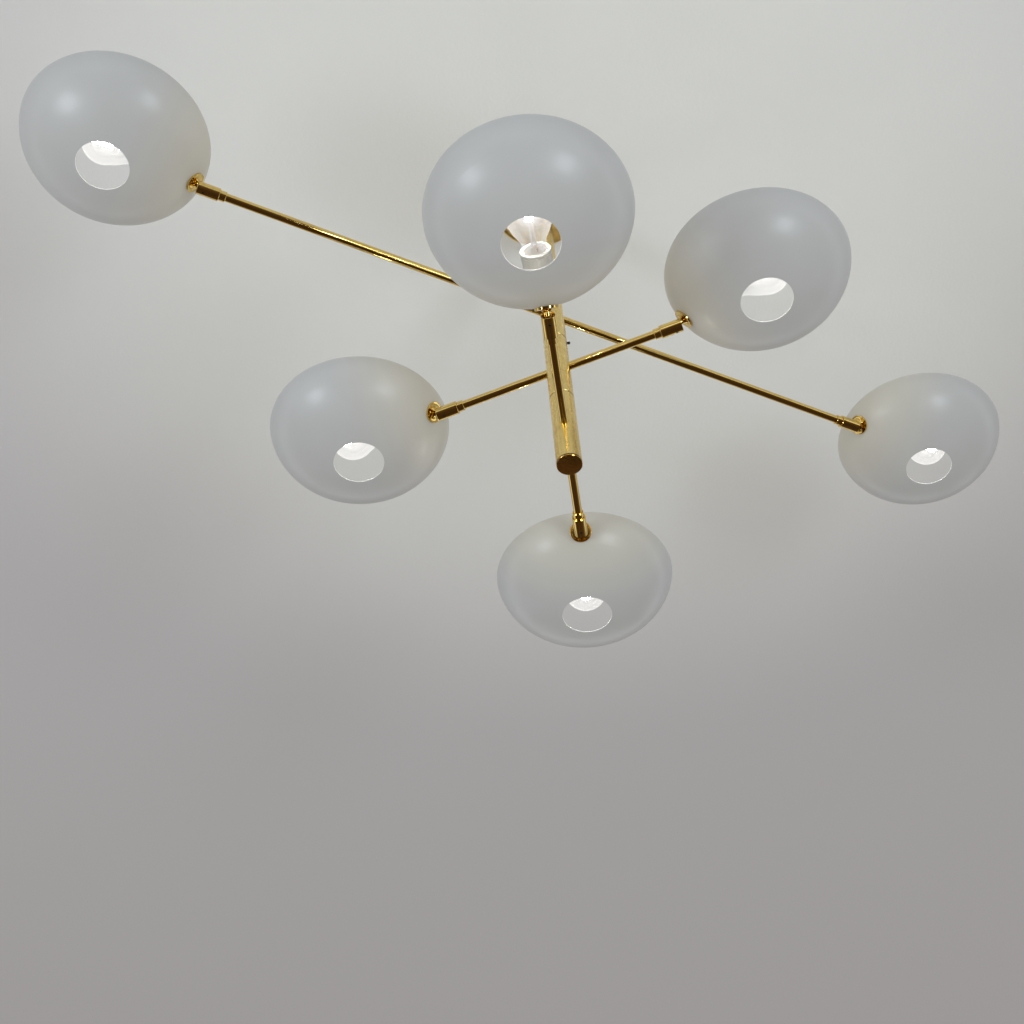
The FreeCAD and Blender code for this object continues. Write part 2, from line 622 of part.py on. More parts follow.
def make_lampholder():
    """White lampholder: round back on the stud, cone, barrel and a thicker rim."""
    dome = HOLDER_DOME_R
    round_at = dome * HALF_RIGHT
    floor = HOLDER_LEN - HOLDER_DEPTH
    throat = HOLDER_LEN - HOLDER_MOUTH_DEPTH
    outline = [
        (-dome, 0), ("arc", (-round_at, round_at), (0, dome)), (HOLDER_CONE, HOLDER_R),
        (HOLDER_LEN - HOLDER_RIM * 2, HOLDER_R),
        (HOLDER_LEN - HOLDER_RIM * 2, HOLDER_R - HOLDER_RIM_STEP),
        (HOLDER_LEN - HOLDER_RIM, HOLDER_R - HOLDER_RIM_STEP),
        (HOLDER_LEN - HOLDER_RIM, HOLDER_R), (HOLDER_LEN - END_BREAK, HOLDER_R),
        (HOLDER_LEN, HOLDER_R - END_BREAK), (HOLDER_LEN, HOLDER_MOUTH_R + END_BREAK),
        (HOLDER_LEN - END_BREAK, HOLDER_MOUTH_R), (throat, HOLDER_MOUTH_R),
        (throat, HOLDER_SHELL_R), (floor, HOLDER_SHELL_R), (floor, 0),
    ]
    holder = along(revolve(outline), DOME_CENTRE, X_AXIS)
    socket_end = STUD_REACH + SHANK_IN + SHANK_TIP_PLAY
    socket = along(Part.makeCylinder(SHANK_R + THREAD_PLAY, socket_end, ORIGIN, X_AXIS),
                   ORIGIN, stud_direction())
    return solid_of(holder.cut(socket))


def make_bulb():
    """Clear round bulb: globe, neck and screw cap, hollow inside."""
    cap_start = -BULB_MOUTH_DIST - SCREW_CAP_IN
    cap_end = cap_start - SCREW_CAP_LEN
    floor = cap_end + SCREW_CAP_FLOOR
    tip = cap_end - CONTACT_LEN

    def profile(inset):
        """Neck, flare, shoulder, a point on the globe and its top, `inset` inside the glass."""
        shoulder, high = math.radians(BULB_SHOULDER_DEG), math.radians(BULB_ROUND_DEG)
        r = BULB_R - inset
        return [(cap_start, BULB_NECK_R - BULB_NECK_IN - inset),
                (BULB_FLARE_LEN - BULB_MOUTH_DIST, BULB_FLARE_R - inset),
                (r * math.cos(shoulder), r * math.sin(shoulder)),
                (r * math.cos(high), r * math.sin(high)), (r, 0)]

    outer = profile(0)
    inner = profile(BULB_GLASS)
    cap_inside = SCREW_CAP_R - SCREW_CAP_WALL
    outline = [
        (tip, CONTACT_HOLE_R), (tip, CONTACT_R), (cap_end, SCREW_CAP_R - SCREW_CAP_TAPER),
        (floor, SCREW_CAP_R), (cap_start, SCREW_CAP_R), outer[0], outer[1], outer[2],
        ("arc", outer[3], outer[4]), inner[4], ("arc", inner[3], inner[2]), inner[1], inner[0],
        (cap_start, cap_inside), (floor, cap_inside), (floor, CONTACT_HOLE_R),
    ]
    globe = DOME_CENTRE + X_AXIS * (HOLDER_LEN + BULB_MOUTH_DIST)
    return along(revolve(outline), globe, X_AXIS)


# ---------------------------------------------------------------- setting of each bowl
def bowl_frames(number):
    """Placements of the sleeve group and the bowl group of one arm end."""
    index, end = BOWL_ARM[number]
    axis = arm_axis(index, end)
    ball = ball_centre(index, end)
    flat = Vector(axis.x, axis.y, 0).normalize()
    roll, down, swing = BOWL_SET[number]
    turn = FreeCAD.Rotation(flat, roll)
    turn = turn.multiply(FreeCAD.Rotation(Z_AXIS.cross(flat), down))
    turn = turn.multiply(FreeCAD.Rotation(Z_AXIS, swing))
    bowl = frame(ball, turn.multVec(flat), turn.multVec(Z_AXIS))
    stud = bowl.Rotation.multVec(stud_direction())
    # the sleeve is rolled until its slot faces the stud
    sleeve = frame(ball, axis, stud)
    return sleeve, bowl


def make_ends():
    """Every piece at the six arm ends, by node name."""
    collar, sleeve, grub = make_collar(), make_sleeve(), make_grub()
    group = {"ball_stud": make_stud(), "bowl": make_bowl(), "ring_nut": make_ring_nut(),
             "lampholder": make_lampholder(), "bulb": make_bulb()}
    pieces = {}
    collars = {0: [], 1: [], 2: []}
    for number in BOWL_ARM:
        sleeve_at, bowl_at = bowl_frames(number)
        index, end = BOWL_ARM[number]
        collar_at = frame(sleeve_at.Base, arm_axis(index, end), Z_AXIS)
        collars[index].append(placed(collar, collar_at))
        pieces["sleeve_%d" % number] = placed(sleeve, sleeve_at)
        pieces["grub_screw_%d" % number] = placed(grub, sleeve_at)
        for name, shape in group.items():
            pieces["%s_%d" % (name, number)] = placed(shape, bowl_at)
    for index, pair in collars.items():
        pieces["arm_collars_%d" % (index + 1)] = Part.makeCompound(pair)
    return pieces


def make_pieces():
    """All the pieces of the lamp, by node name."""
    pieces = {
        "canopy": make_canopy(),
        "ceiling_strap": make_strap(),
        "hanging_nipple": make_nipple(),
        "strap_nut": make_strap_nut(),
        "drop_tube": make_drop_tube(),
        "end_cap": make_end_cap(),
    }
    for index in range(SEGMENT_COUNT):
        pieces["segment_%d" % (index + 1)] = make_segment(index)
        pieces["lock_screw_%d" % (index + 1)] = make_lock_screw(index)
        pieces["arm_%d" % (index + 1)] = make_arm(index)
    pieces.update(make_ends())
    return pieces


def main():
    """Build every piece and write one STEP file for each."""
    os.makedirs("parts", exist_ok=True)
    for name, shape in make_pieces().items():
        shape.exportStep("parts/%s.step" % name)
        print("%-16s %2d solid  %9.1f mm3  valid %s" % (name, len(shape.Solids), shape.Volume,
                                                       shape.isValid()))


main()
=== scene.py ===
"""Dresses the brass chandelier and lights it the way it hangs: on a pale ceiling, seen from below.

Every turned and spun piece keeps the shape that it was made in and gets its finish here.
The bulbs are blown and fitted here: glass, screw cap, stem, leads and glowing filaments.
Lengths are in metres. The origin is on the ceiling, on the stem's axis, with Z up.
"""
from __future__ import annotations

import json
import logging
import math
from collections.abc import Callable, Sequence
from dataclasses import dataclass
from enum import Enum

import bmesh
import bpy
from mathutils import Matrix, Vector

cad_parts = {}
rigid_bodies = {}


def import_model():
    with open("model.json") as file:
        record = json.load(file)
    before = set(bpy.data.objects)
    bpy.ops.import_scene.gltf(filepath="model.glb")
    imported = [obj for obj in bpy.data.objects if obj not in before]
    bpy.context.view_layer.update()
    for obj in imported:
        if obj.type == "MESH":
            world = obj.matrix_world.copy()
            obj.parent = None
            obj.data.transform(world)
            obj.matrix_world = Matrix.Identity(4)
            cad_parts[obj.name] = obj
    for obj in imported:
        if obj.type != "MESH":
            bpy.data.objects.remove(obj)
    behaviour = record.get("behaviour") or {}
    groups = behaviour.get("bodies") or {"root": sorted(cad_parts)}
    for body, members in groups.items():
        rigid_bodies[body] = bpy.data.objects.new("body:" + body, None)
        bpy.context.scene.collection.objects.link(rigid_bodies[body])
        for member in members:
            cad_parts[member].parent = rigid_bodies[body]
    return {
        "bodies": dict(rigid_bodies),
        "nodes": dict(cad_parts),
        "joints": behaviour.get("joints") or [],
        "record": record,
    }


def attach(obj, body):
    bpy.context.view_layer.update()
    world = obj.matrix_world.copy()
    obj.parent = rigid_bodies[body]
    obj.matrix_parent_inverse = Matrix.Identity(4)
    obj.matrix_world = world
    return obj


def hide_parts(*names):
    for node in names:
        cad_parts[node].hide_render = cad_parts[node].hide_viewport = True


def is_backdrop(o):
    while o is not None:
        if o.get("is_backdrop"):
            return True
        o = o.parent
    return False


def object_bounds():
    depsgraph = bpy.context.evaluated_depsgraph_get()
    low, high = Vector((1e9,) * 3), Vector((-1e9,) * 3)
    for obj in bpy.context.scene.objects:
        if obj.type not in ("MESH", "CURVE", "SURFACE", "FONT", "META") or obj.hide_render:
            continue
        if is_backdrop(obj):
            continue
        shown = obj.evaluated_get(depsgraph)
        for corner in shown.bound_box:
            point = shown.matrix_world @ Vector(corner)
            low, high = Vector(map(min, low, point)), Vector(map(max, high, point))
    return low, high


LOG = logging.getLogger("chandelier")

MM = 0.001
SOFT_EDGE = 0.3 * MM  # width over which one finish gives way to the next
THREAD_EDGE = 0.2 * MM  # length over which a thread runs out
THREAD_RELIEF = 0.5  # depth of a thread's relief as a share of its pitch
MARKS_ON_THREAD = 0.01  # height of the fine marks as a share of a thread's
Colour = tuple[float, float, float]
Point = tuple[float, float]


# ------------------------------------------------------------------ shader building
class Value:
    """One number of a shader, on which Python's own signs add Math nodes."""

    def __init__(self, nodes: Nodes, socket: bpy.types.NodeSocket) -> None:
        """Keep the tree and the socket that gives the number."""
        self.nodes = nodes
        self.socket = socket

    def maths(self, operation: str, *others: Value | float, first: bool = True) -> Value:
        """Add one Math node.

        Args:
            operation: the node's operation.
            others: what else goes in.
            first: whether this value goes in before the others.

        Returns:
            The node's result.
        """
        order = (self, *others) if first else (*others, self)
        node = self.nodes.add("ShaderNodeMath", {"operation": operation}, dict(enumerate(order)))
        return Value(self.nodes, node.outputs[0])

    def __add__(self, other: Value | float) -> Value:
        """Sum."""
        return self.maths("ADD", other)

    __radd__ = __add__

    def __sub__(self, other: Value | float) -> Value:
        """Difference."""
        return self.maths("SUBTRACT", other)

    def __rsub__(self, other: float) -> Value:
        """Difference from a number."""
        return self.maths("SUBTRACT", other, first=False)

    def __mul__(self, other: Value | float) -> Value:
        """Product."""
        return self.maths("MULTIPLY", other)

    __rmul__ = __mul__

    def __truediv__(self, other: Value | float) -> Value:
        """Quotient."""
        return self.maths("DIVIDE", other)

    def __pow__(self, other: Value | float) -> Value:
        """Power."""
        return self.maths("POWER", other)

    def above(self, edge: float, soft: float) -> Value:
        """How far the value is past an edge.

        Args:
            edge: where the result is a half.
            soft: width over which it goes from 0 to 1.

        Returns:
            A mask from 0 to 1.
        """
        node = self.nodes.add(
            "ShaderNodeMapRange",
            {"interpolation_type": "SMOOTHSTEP"},
            {"Value": self, "From Min": edge - soft / 2, "From Max": edge + soft / 2},
        )
        return Value(self.nodes, node.outputs[0])

    def below(self, edge: float, soft: float) -> Value:
        """How far the value is short of an edge, from 0 to 1."""
        return 1.0 - self.above(edge, soft)


Input = Value | float | Colour | bpy.types.NodeSocket


class Nodes:
    """A node tree that is written from the outside in."""

    def __init__(self, tree: bpy.types.NodeTree) -> None:
        """Empty the tree and keep it."""
        self.tree = tree
        tree.nodes.clear()

    def add(self, kind: str, settings: dict | None = None, inputs: dict | None = None) -> bpy.types.Node:
        """Add one node of any type.

        Args:
            kind: the node's type.
            settings: its own settings, set first; "stops" are a ramp's (place, colour) pairs.
            inputs: values or links of its sockets, by name or number.

        Returns:
            The new node.
        """
        node = self.tree.nodes.new(kind)
        for key, value in (settings or {}).items():
            if key == "stops":
                self._set_stops(node.color_ramp, value)
            else:
                setattr(node, key, value)
        for key, value in (inputs or {}).items():
            self._plug(node.inputs[key], value)
        return node

    @staticmethod
    def _set_stops(ramp: bpy.types.ColorRamp, stops: Sequence[tuple[float, Colour]]) -> None:
        """Give a ramp its stops."""
        while len(ramp.elements) < len(stops):
            ramp.elements.new(1.0)
        for element, (place, colour) in zip(ramp.elements, stops):
            element.position = place
            element.color = (*colour, 1.0)

    def _plug(self, socket: bpy.types.NodeSocket, value: Input) -> None:
        """Link or set one input."""
        if isinstance(value, Value):
            value = value.socket
        if isinstance(value, bpy.types.NodeSocket):
            self.tree.links.new(value, socket)
        elif isinstance(value, tuple) and socket.type == "RGBA":
            socket.default_value = (*value, 1.0)
        else:
            socket.default_value = value

    def vector(self, x: Value | float, y: Value | float, z: Value | float) -> bpy.types.NodeSocket:
        """Three numbers as one vector."""
        return self.add("ShaderNodeCombineXYZ", None, {"X": x, "Y": y, "Z": z}).outputs[0]

    def noise(self, at: bpy.types.NodeSocket, scale: float, detail: float = 3.0) -> Value:
        """Smooth noise from 0 to 1.

        Args:
            at: where it is read.
            scale: how many waves go to one unit of `at`.
            detail: how many finer waves are added.

        Returns:
            The noise.
        """
        node = self.add("ShaderNodeTexNoise", None, {"Vector": at, "Scale": scale, "Detail": detail})
        return Value(self, node.outputs[0])

    def blend(self, mask: Value | float, low: Input, high: Input) -> bpy.types.NodeSocket:
        """Colour that goes from `low` to `high` as the mask goes from 0 to 1."""
        mix = self.add("ShaderNodeMix", {"data_type": "RGBA"}, {0: mask, 6: low, 7: high})
        return mix.outputs[2]

    def bump(self, height: Value, depth: float) -> bpy.types.NodeSocket:
        """Normal of a surface with a fine relief, `depth` metres for a height of 1."""
        inputs = {"Height": height, "Distance": depth, "Strength": 1.0}
        return self.add("ShaderNodeBump", None, inputs).outputs[0]

    def surface(self, **inputs: Input) -> bpy.types.Node:
        """A Principled shader; words of a socket's name are joined by underscores."""
        named = {key.replace("_", " "): value for key, value in inputs.items()}
        return self.add("ShaderNodeBsdfPrincipled", None, named)

    def finish(self, shader: bpy.types.Node) -> None:
        """Send a shader to the tree's surface output."""
        kind = "ShaderNodeOutputMaterial"
        if shader.bl_idname == "ShaderNodeBackground":
            kind = "ShaderNodeOutputWorld"
        self.add(kind, None, {"Surface": shader.outputs[0]})


@dataclass(frozen=True)
class Axes:
    """Where a piece is: its origin, its turning axis and one side direction."""

    origin: Vector
    along: Vector
    side: Vector

    @classmethod
    def on(cls, origin: Vector, along: Vector) -> Axes:
        """Axes about a line, with any side direction that is square to it."""
        along = along.normalized()
        other = Vector((0, 0, 1)) if abs(along.z) < 0.9 else Vector((1, 0, 0))
        return cls(origin, along, other.cross(along).normalized())

    def matrix(self) -> Matrix:
        """Transform from the piece's own X (side), Y and Z (along) to the lamp's frame."""
        third = self.along.cross(self.side)
        turn = Matrix((self.side, third, self.along)).transposed()
        return Matrix.Translation(self.origin) @ turn.to_4x4()


STEM_LINE = Axes.on(Vector((0, 0, 0)), Vector((0, 0, 1)))


class Local:
    """A piece's own coordinates in a shader: x, y, z along the axis, and the radius."""

    def __init__(self, nodes: Nodes, axes: Axes) -> None:
        """Add the nodes that turn object coordinates into the piece's own."""
        at = nodes.add("ShaderNodeTexCoord").outputs["Object"]
        turn = axes.matrix().to_euler()
        inputs = {"Vector": at, "Location": axes.origin, "Rotation": turn}
        self.at = nodes.add("ShaderNodeMapping", {"vector_type": "TEXTURE"}, inputs).outputs[0]
        split = nodes.add("ShaderNodeSeparateXYZ", None, {0: self.at})
        self.nodes = nodes
        self.x, self.y, self.z = (Value(nodes, out) for out in split.outputs)

    def radius(self) -> Value:
        """Distance from the axis."""
        return (self.x * self.x + self.y * self.y) ** 0.5

    def lengthwise(self, fine: float, stretch: float) -> Value:
        """Noise drawn out along the axis.

        Args:
            fine: size of the marks across the axis.
            stretch: how many times longer they are along it.

        Returns:
            The noise, from 0 to 1.
        """
        drawn = self.nodes.vector(self.x / fine, self.y / fine, self.z / (fine * stretch))
        return self.nodes.noise(drawn, 1.0)

    def turned(self, fine: float) -> Value:
        """Noise in rings about the axis, as a lathe leaves, with marks `fine` metres apart."""
        return self.nodes.noise(self.nodes.vector(self.radius() / fine, self.z / fine, 0.0), 1.0)

    def thread(self, pitch: float) -> Value:
        """Height of a screw thread about the axis, from 0 to 1."""
        turn = self.y.maths("ARCTAN2", self.x) / (2 * math.pi)
        return (self.z / pitch - turn).maths("PINGPONG", 0.5) * 2.0


# ------------------------------------------------------------------ finishes
class Grain(Enum):
    """Which way the fine marks on a metal run."""

    LENGTHWISE = "drawn along the tube"
    TURNED = "left by the lathe"


@dataclass(frozen=True)
class Brass:
    """Lacquered brass, drawn or turned, with faint marks and a little darkening."""

    bright: Colour = (0.89, 0.66, 0.23)
    deep: Colour = (0.72, 0.48, 0.12)
    stain: Colour = (0.36, 0.19, 0.05)
    gloss: float = 0.14
    spread: float = 0.10
    grain: Grain = Grain.LENGTHWISE
    mark: float = 0.35 * MM
    stain_size: float = 14 * MM
    stain_share: float = 0.22
    mark_stretch: float = 60.0
    mark_depth: float = 1.2e-6
    streaks_per_stain: float = 5.0
    streak_stretch: float = 25.0
    streak_share: float = 0.7
    stain_edge: float = 0.64
    stain_soft: float = 0.22
    stain_dulls: float = 0.35
    seam: Colour = (0.035, 0.017, 0.006)
    seam_width: float = 1.5 * MM

    def material(self, name: str, axes: Axes, thread: tuple[float, float, float] | None = None,
                 ends: tuple[float, float] | None = None) -> bpy.types.Material:
        """Make the finish for one piece.

        Args:
            name: the material's name.
            axes: the piece's own axes.
            thread: pitch of a screw thread, and where along the axis it starts and ends.
            ends: where along the axis the piece ends, with a dark band at both.

        Returns:
            The material.
        """
        material, nodes = new_material(name)
        here = Local(nodes, axes)
        marks = here.turned(self.mark)
        if self.grain is Grain.LENGTHWISE:
            marks = here.lengthwise(self.mark, self.mark_stretch)
        cloud = nodes.noise(here.at, 1.0 / self.stain_size, 5.0)
        streaks = here.lengthwise(self.stain_size / self.streaks_per_stain, self.streak_stretch)
        stained = cloud.above(self.stain_edge, self.stain_soft) * self.stain_share
        tone = streaks.above(0.5, 0.5) * self.streak_share + marks * (1.0 - self.streak_share)
        colour = nodes.blend(tone, self.deep, self.bright)
        colour = nodes.blend(stained, colour, self.stain)
        rough = self.gloss + marks * self.spread + stained * self.stain_dulls
        # A near-black band at both ends of the piece, where it meets the next.
        if ends is not None:
            away_from_ends = here.z.above(ends[0] + self.seam_width, SOFT_EDGE)
            away_from_ends = away_from_ends * here.z.below(ends[1] - self.seam_width, SOFT_EDGE)
            colour = nodes.blend(away_from_ends, self.seam, colour)
        height = marks
        depth = self.mark_depth
        if thread is not None:
            pitch, start, end = thread
            cut = here.z.above(start, THREAD_EDGE) * here.z.below(end, THREAD_EDGE)
            height = marks * MARKS_ON_THREAD + here.thread(pitch) * cut
            depth = pitch * THREAD_RELIEF
        shader = nodes.surface(Base_Color=colour, Roughness=rough, Metallic=1.0,
                               Normal=nodes.bump(height, depth))
        nodes.finish(shader)
        return material


@dataclass(frozen=True)
class Steel:
    """Bare or plated steel, with a rolled or drawn grain and a cloudy plating."""

    slot: str
    light: Colour = (0.60, 0.61, 0.62)
    dark: Colour = (0.36, 0.37, 0.39)
    gloss: float = 0.32
    metal: float = 1.0
    mark: float = 0.25 * MM
    mark_depth: float = 2e-6
    clouds_per_metre: float = 260.0
    cloud_share: float = 0.7
    cloud_dulls: float = 0.18

    def material(self, name: str, axes: Axes, pitch: float = 0.0) -> bpy.types.Material:
        """Make the finish for one piece.

        Args:
            name: the material's name.
            axes: the piece's own axes.
            pitch: of the screw thread all along it, or 0 for none.

        Returns:
            The material.
        """
        material, nodes = new_material(name)
        here = Local(nodes, axes)
        marks = here.turned(self.mark)
        cloud = nodes.noise(here.at, self.clouds_per_metre, 5.0)
        tone = cloud * self.cloud_share + marks * (1.0 - self.cloud_share)
        colour = nodes.blend(tone, self.dark, self.light)
        rough = self.gloss + cloud * self.cloud_dulls
        height = marks
        depth = self.mark_depth
        if pitch:
            height = here.thread(pitch)
            depth = pitch * THREAD_RELIEF
        shader = nodes.surface(Base_Color=colour, Roughness=rough, Metallic=self.metal,
                               Normal=nodes.bump(height, depth))
        nodes.finish(shader)
        return material


@dataclass(frozen=True)
class Lacquer:
    """Satin stove lacquer on a spun bowl: faint orange peel over fainter spinning rings, with painted
    light: a paler, warmer hub side and a near-white cut edge.
    """

    body: Colour = (0.468, 0.471, 0.467)
    shade: Colour = (0.442, 0.444, 0.435)
    # Painted light: the hub side of each bowl is coloured paler and warmer, standing in for the bulbs'
    # warm light that falls on it from the hub.
    painted_hub_light: Colour = (0.54, 0.51, 0.425)
    painted_hub_light_from: float = -62 * MM
    painted_hub_light_over: float = 110 * MM
    painted_hub_light_share: float = 0.75
    # Partly bare metal at the aperture's cut edge, partly painted highlight: the edge is coloured near
    # white to stand in for the bulb's light on it.
    bare_and_lit_edge: Colour = (0.92, 0.92, 0.90)
    bare_and_lit_edge_radius: float = 34.05 * MM
    dust: Colour = (0.56, 0.55, 0.52)
    dust_share: float = 0.25
    dust_specks_per_metre: float = 1400.0
    dust_edge: float = 0.73
    clouds_per_metre: float = 22.0
    relief: float = 7e-6
    gloss: float = 0.33
    peel: float = 1.1 * MM
    ring: float = 2.4 * MM

    def material(self, name: str, axes: Axes) -> bpy.types.Material:
        """Make the finish for a bowl that was spun about the axes' line."""
        material, nodes = new_material(name)
        here = Local(nodes, axes)
        cloud = nodes.noise(here.at, self.clouds_per_metre, 4.0)
        peel = nodes.noise(here.at, 1.0 / self.peel, 2.0)
        rings = here.turned(self.ring)
        dust = nodes.noise(here.at, self.dust_specks_per_metre, 2.0).above(self.dust_edge, 0.05)
        colour = nodes.blend(cloud, self.shade, self.body)
        # Painted warm light: the bowl's hub side is tinted as if lit by the bulbs near the stem.
        painted_hub_light = here.x.below(self.painted_hub_light_from, self.painted_hub_light_over) * self.painted_hub_light_share
        colour = nodes.blend(painted_hub_light, colour, self.painted_hub_light)
        # Painted highlight on the aperture's cut edge, over its bare metal.
        cut = here.radius().below(self.bare_and_lit_edge_radius, SOFT_EDGE)
        colour = nodes.blend(cut, colour, self.bare_and_lit_edge)
        colour = nodes.blend(dust * self.dust_share, colour, self.dust)
        rough = self.gloss + cloud * 0.05 + peel * 0.03 + dust * 0.2
        height = peel * 0.7 + rings * 0.5
        shader = nodes.surface(Base_Color=colour, Roughness=rough, Coat_Weight=0.06,
                               Coat_Roughness=0.16, Normal=nodes.bump(height, self.relief))
        nodes.finish(shader)
        return material


@dataclass(frozen=True)
class Porcelain:
    """Glazed white porcelain, with the copper-coloured screw shell inside its mouth."""

    glaze: Colour = (0.86, 0.86, 0.85)
    warm: Colour = (0.80, 0.79, 0.76)
    shell: Colour = (0.80, 0.42, 0.22)
    shell_radius: float = 13.9 * MM
    shell_start: float = 20.0 * MM
    shell_relief: float = 0.8 * MM
    pitch: float = 3.6 * MM
    pit: Colour = (0.50, 0.47, 0.42)
    pit_share: float = 0.4
    pits_per_metre: float = 900.0
    pit_edge: float = 0.76

    def material(self, name: str, axes: Axes) -> bpy.types.Material:
        """Make the finish for one lampholder, along the axes' line from its round back."""
        material, nodes = new_material(name)
        here = Local(nodes, axes)
        inside = here.radius().below(self.shell_radius, SOFT_EDGE)
        inside = inside * here.z.above(self.shell_start, 0.5 * MM)
        cloud = nodes.noise(here.at, 60.0, 4.0)
        pits = nodes.noise(here.at, self.pits_per_metre, 1.0).above(self.pit_edge, 0.04)
        colour = nodes.blend(cloud, self.warm, self.glaze)
        colour = nodes.blend(pits * self.pit_share, colour, self.pit)
        colour = nodes.blend(inside, colour, self.shell)
        rough = 0.16 + cloud * 0.10 + inside * 0.12
        height = here.thread(self.pitch) * inside + cloud * 0.01
        shader = nodes.surface(Base_Color=colour, Roughness=rough, Metallic=inside,
                               Normal=nodes.bump(height, self.shell_relief))
        nodes.finish(shader)
        return material


@dataclass(frozen=True)
class LitGlass:
    """Thin clear glass round a burning lamp: it shows at its edges and glows softly, a painted glow that
    stands in for the filaments' glare, brightest where the globe faces the camera.
    """

    slot: str
    glowing_haze: float = 0.07
    painted_bloom: float = 0.60
    painted_bloom_power: float = 7.0
    painted_bloom_from: float = -26 * MM
    painted_bloom_over: float = 24 * MM
    rim: float = 0.22
    painted_glow: Colour = (1.0, 0.99, 0.97)
    painted_glow_strength: float = 0.88

    def material(self, name: str, axes: Axes) -> bpy.types.Material:
        """Make the finish for one bulb's glass."""
        material, nodes = new_material(name)
        here = Local(nodes, axes)
        drift = nodes.noise(here.at, 70.0, 3.0)
        edge = Value(nodes, nodes.add("ShaderNodeFresnel", None, {"IOR": 1.45}).outputs[0])
        away = Value(nodes, nodes.add("ShaderNodeLayerWeight", None, {"Blend": 0.5}).outputs["Facing"])
        # The skin both mirrors and emits: its emission is painted glow on the glass.
        skin = nodes.surface(Base_Color=(0.03, 0.03, 0.03), Roughness=0.04 + drift * 0.04,
                             Emission_Color=self.painted_glow, Emission_Strength=self.painted_glow_strength)
        clear = nodes.add("ShaderNodeBsdfTransparent")
        # Painted bloom: extra glow where the globe faces the camera.
        globe = here.z.above(self.painted_bloom_from, self.painted_bloom_over)
        painted_bloom = (1.0 - away) ** self.painted_bloom_power * globe * self.painted_bloom
        mask = edge * self.rim + painted_bloom + globe * self.glowing_haze + drift * 0.03
        shader = nodes.add("ShaderNodeMixShader", None,
                           {0: mask, 1: clear.outputs[0], 2: skin.outputs[0]})
        nodes.finish(shader)
        return material


@dataclass(frozen=True)
class Glowing:
    """Filaments that burn, bead by bead along their length."""

    slot: str
    colour: Colour = (1.0, 0.97, 0.91)
    between: Colour = (1.0, 0.93, 0.82)
    bead: float = 1.3 * MM
    strength: float = 220.0

    def material(self, name: str, axes: Axes) -> bpy.types.Material:
        """Make the finish for one bulb's filaments."""
        material, nodes = new_material(name)
        here = Local(nodes, axes)
        beads = (here.z / self.bead).maths("PINGPONG", 0.5) * 2.0
        colour = nodes.blend(beads, self.between, self.colour)
        shader = nodes.surface(Base_Color=(0.9, 0.8, 0.5), Roughness=0.6, Emission_Color=colour,
                               Emission_Strength=self.strength)
        nodes.finish(shader)
        return material


@dataclass(frozen=True)
class Plaster:
    """Ceiling paint with a painted pool of light: its colour is brighter round the lamp, standing in for
    the bulbs' light on it, and darker away from it.
    """

    middle: Vector
    # Painted light: the near colour stands for the ceiling lit by the bulbs, the far one for the ceiling
    # beyond their light.
    near: Colour = (0.71, 0.715, 0.69)
    far: Colour = (0.508, 0.493, 0.502)
    painted_light_radius: float = 0.95
    painted_light_fade: float = 1.0
    covered_radius: float = 73 * MM
    patch_share: float = 0.06
    grain_depth: float = 0.3 * MM

    def material(self, name: str) -> bpy.types.Material:
        """Make the ceiling's paint, which is clear from above and within the canopy."""
        material, nodes = new_material(name)
        here = Local(nodes, Axes.on(self.middle, Vector((0, 0, 1))))
        # Painted pool of light, fading out with distance from the lamp.
        reach = here.radius().above(self.painted_light_radius, self.painted_light_fade)
        grain = nodes.noise(here.at, 160.0, 4.0)
        patches = nodes.noise(here.at, 2.2, 3.0)
        colour = nodes.blend(reach + (patches - 0.5) * self.patch_share, self.near, self.far)
        paint = nodes.surface(Base_Color=colour, Roughness=0.85,
                              Normal=nodes.bump(grain, self.grain_depth))
        behind = Value(nodes, nodes.add("ShaderNodeNewGeometry").outputs["Backfacing"])
        covered = Local(nodes, STEM_LINE).radius().below(self.covered_radius, 1 * MM)
        behind = behind.maths("MAXIMUM", covered)
        clear = nodes.add("ShaderNodeBsdfTransparent")
        shader = nodes.add("ShaderNodeMixShader", None,
                           {0: behind, 1: paint.outputs[0], 2: clear.outputs[0]})
        nodes.finish(shader)
        return material


def new_material(name: str) -> tuple[bpy.types.Material, Nodes]:
    """Start an empty material.

    Args:
        name: what it is called.

    Returns:
        The material and its tree.
    """
    material = bpy.data.materials.new(name)
    material.use_nodes = True
    return material, Nodes(material.node_tree)


TUBE_BRASS = Brass(bright=(0.88, 0.69, 0.29), deep=(0.70, 0.50, 0.16), gloss=0.20, spread=0.14)
CANOPY_BRASS = Brass(grain=Grain.TURNED, mark=0.6 * MM, gloss=0.24, spread=0.14)
ARM_BRASS = Brass(gloss=0.04, spread=0.03)
TURNED_BRASS = Brass(grain=Grain.TURNED, mark=0.22 * MM, gloss=0.05, spread=0.05, stain_size=6 * MM)
# The end cap's tarnish is made large and dark and its brass deep brown: partly real tarnish, partly a
# painted reflection of the dark room that its polished face mirrors.
END_BRASS_WITH_PAINTED_REFLECTION = Brass(bright=(0.87, 0.57, 0.17), deep=(0.60, 0.32, 0.07),
                  stain=(0.24, 0.09, 0.02), grain=Grain.TURNED, mark=0.3 * MM, gloss=0.12, spread=0.06,
                  stain_size=11 * MM, stain_share=0.8)
ZINC = Steel("zinc_steel")
BLACKED = Steel("black_steel", light=(0.035, 0.033, 0.031), dark=(0.012, 0.012, 0.012), gloss=0.36,
                metal=0.6)
NICKEL = Steel("zinc_steel", light=(0.70, 0.66, 0.60), dark=(0.52, 0.48, 0.42), gloss=0.22)
COPPER = Steel("zinc_steel", light=(0.85, 0.46, 0.28), dark=(0.60, 0.28, 0.14), gloss=0.28)
BOWL_LACQUER = Lacquer()
WHITE_HOLDER = Porcelain()
